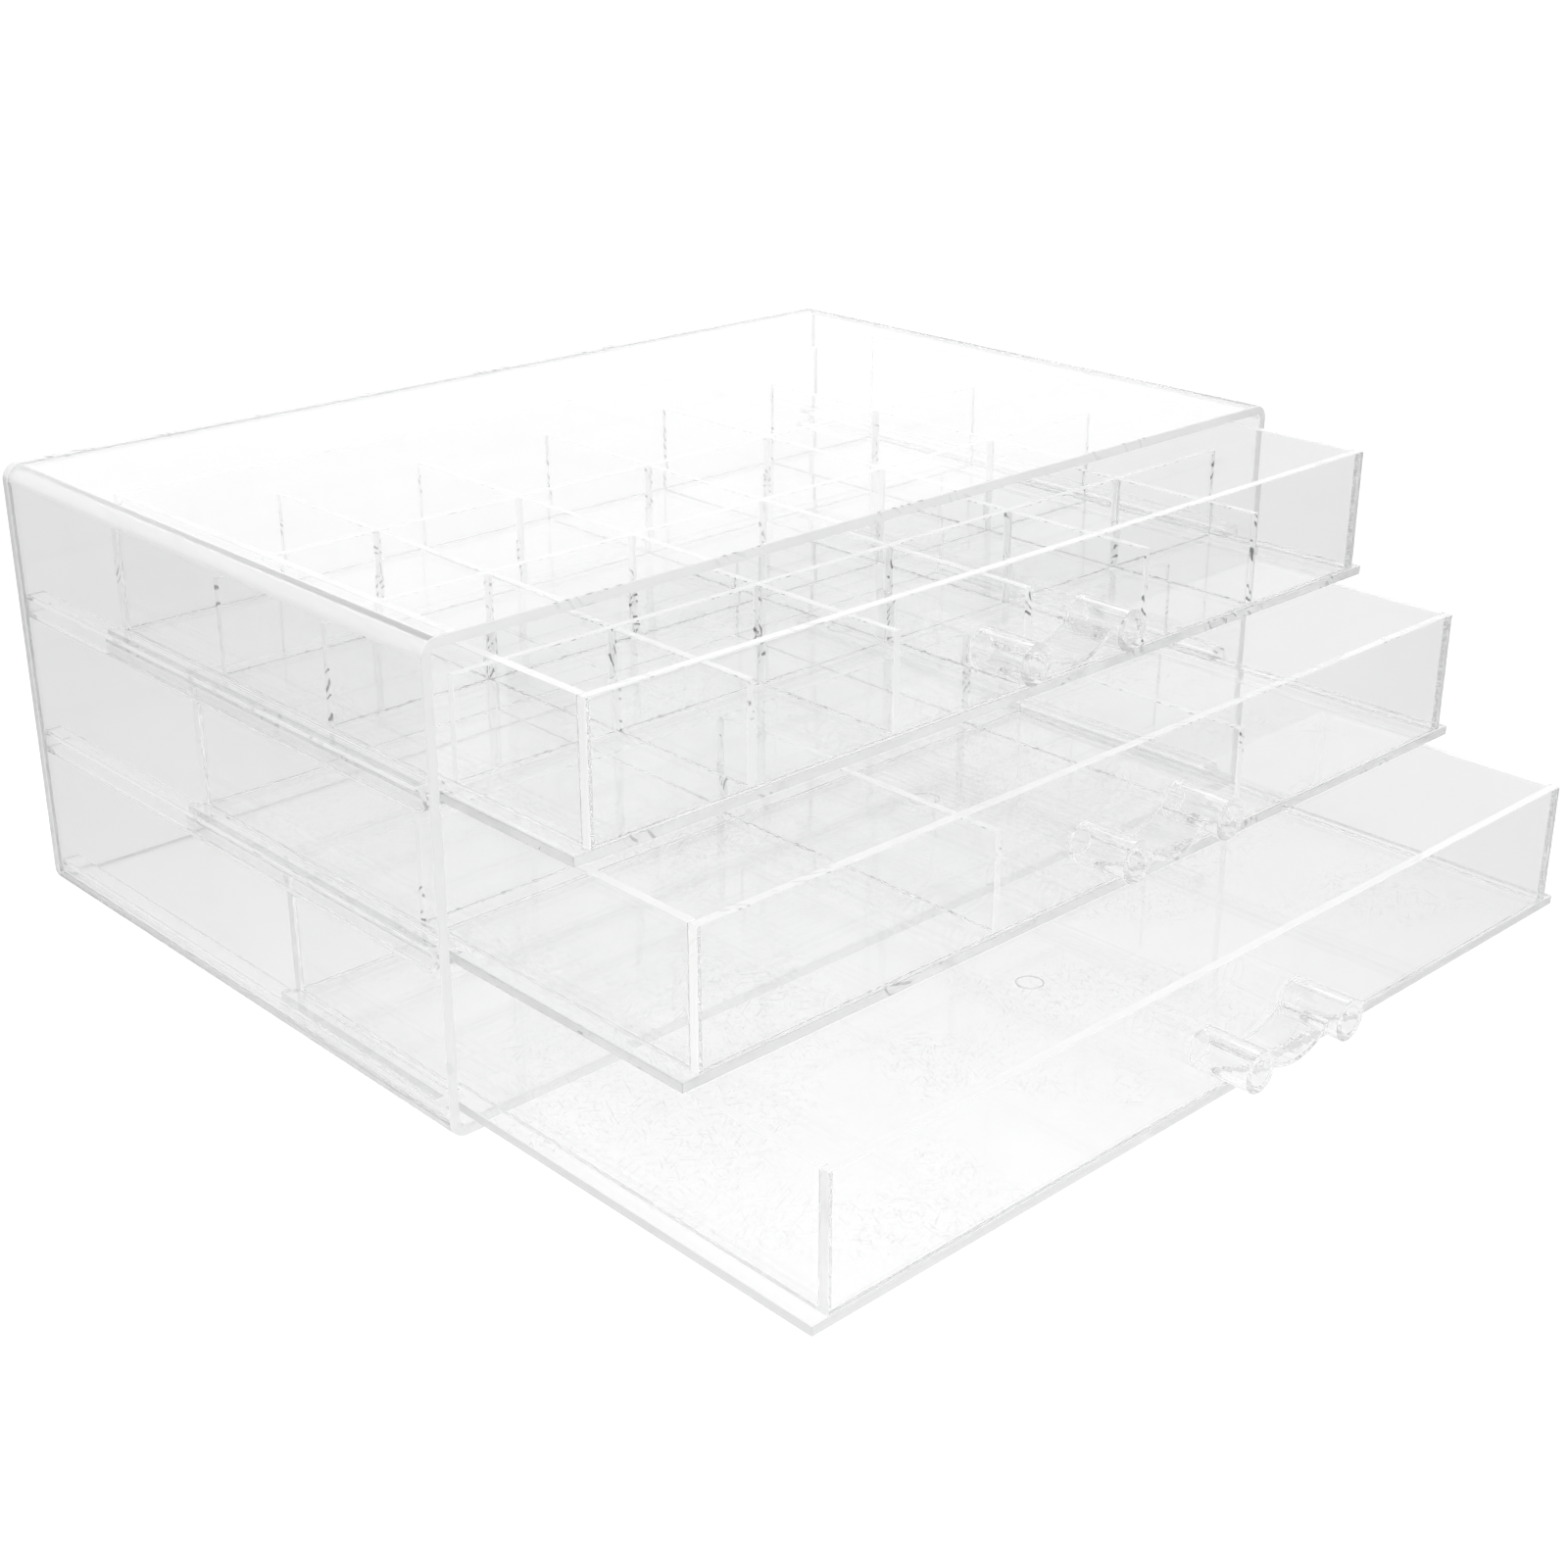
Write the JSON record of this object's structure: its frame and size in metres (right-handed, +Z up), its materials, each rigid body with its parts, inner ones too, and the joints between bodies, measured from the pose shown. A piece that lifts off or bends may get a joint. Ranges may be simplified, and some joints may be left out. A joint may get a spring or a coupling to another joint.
{
  "type": "makeup organizer with drawers",
  "caption": "Clear acrylic make-up and jewellery organizer: an open-fronted case with flanged drawers on side rails, divided trays and handles of open tubes.",
  "frame": {"origin": "centre of the case's footprint, on the underside of the case", "axes": "+X to the right along the drawer fronts, -Y out of the open front, +Z up"},
  "size_m": [0.235, 0.2512, 0.0963],
  "materials": {
    "case_acrylic": "clear polished acrylic, 2.2 mm",
    "rail_acrylic": "clear acrylic strip, moulded surface",
    "drawer_acrylic": "clear polished acrylic with fine rub marks, 2 mm",
    "divider_acrylic": "clear acrylic sheet with sawn and flame-polished edges, 1.6 mm",
    "handle_acrylic": "clear moulded acrylic"
  },
  "bodies": {
    "case": {"case_shell": "case_acrylic", "case_back": "case_acrylic", "bottom_rail_left": "rail_acrylic", "bottom_rail_right": "rail_acrylic", "middle_rail_left": "rail_acrylic", "middle_rail_right": "rail_acrylic", "top_rail_left": "rail_acrylic", "top_rail_right": "rail_acrylic"},
    "bottom_drawer": {"bottom_drawer_floor": "drawer_acrylic", "bottom_drawer_front": "drawer_acrylic", "bottom_drawer_back": "drawer_acrylic", "bottom_drawer_left_side": "drawer_acrylic", "bottom_drawer_right_side": "drawer_acrylic", "bottom_drawer_handle": "handle_acrylic"},
    "middle_drawer": {"middle_drawer_floor": "drawer_acrylic", "middle_drawer_front": "drawer_acrylic", "middle_drawer_back": "drawer_acrylic", "middle_drawer_left_side": "drawer_acrylic", "middle_drawer_right_side": "drawer_acrylic", "middle_drawer_handle": "handle_acrylic", "middle_column_divider_1": "divider_acrylic", "middle_column_divider_2": "divider_acrylic", "middle_row_divider_1": "divider_acrylic"},
    "top_drawer": {"top_drawer_floor": "drawer_acrylic", "top_drawer_front": "drawer_acrylic", "top_drawer_back": "drawer_acrylic", "top_drawer_left_side": "drawer_acrylic", "top_drawer_right_side": "drawer_acrylic", "top_drawer_handle": "handle_acrylic", "top_column_divider_1": "divider_acrylic", "top_column_divider_2": "divider_acrylic", "top_column_divider_3": "divider_acrylic", "top_column_divider_4": "divider_acrylic", "top_column_divider_5": "divider_acrylic", "top_row_divider_1": "divider_acrylic", "top_row_divider_2": "divider_acrylic", "top_row_divider_3": "divider_acrylic"}
  },
  "joints": [
    {"name": "bottom_drawer_slide", "type": "slide", "parent": "case", "child": "bottom_drawer", "axis": [0, -1, 0], "range_m": [-0.0845, 0.0355]},
    {"name": "middle_drawer_slide", "type": "slide", "parent": "case", "child": "middle_drawer", "axis": [0, -1, 0], "range_m": [-0.0545, 0.0655]},
    {"name": "top_drawer_slide", "type": "slide", "parent": "case", "child": "top_drawer", "axis": [0, -1, 0], "range_m": [-0.0285, 0.0915]}
  ]
}
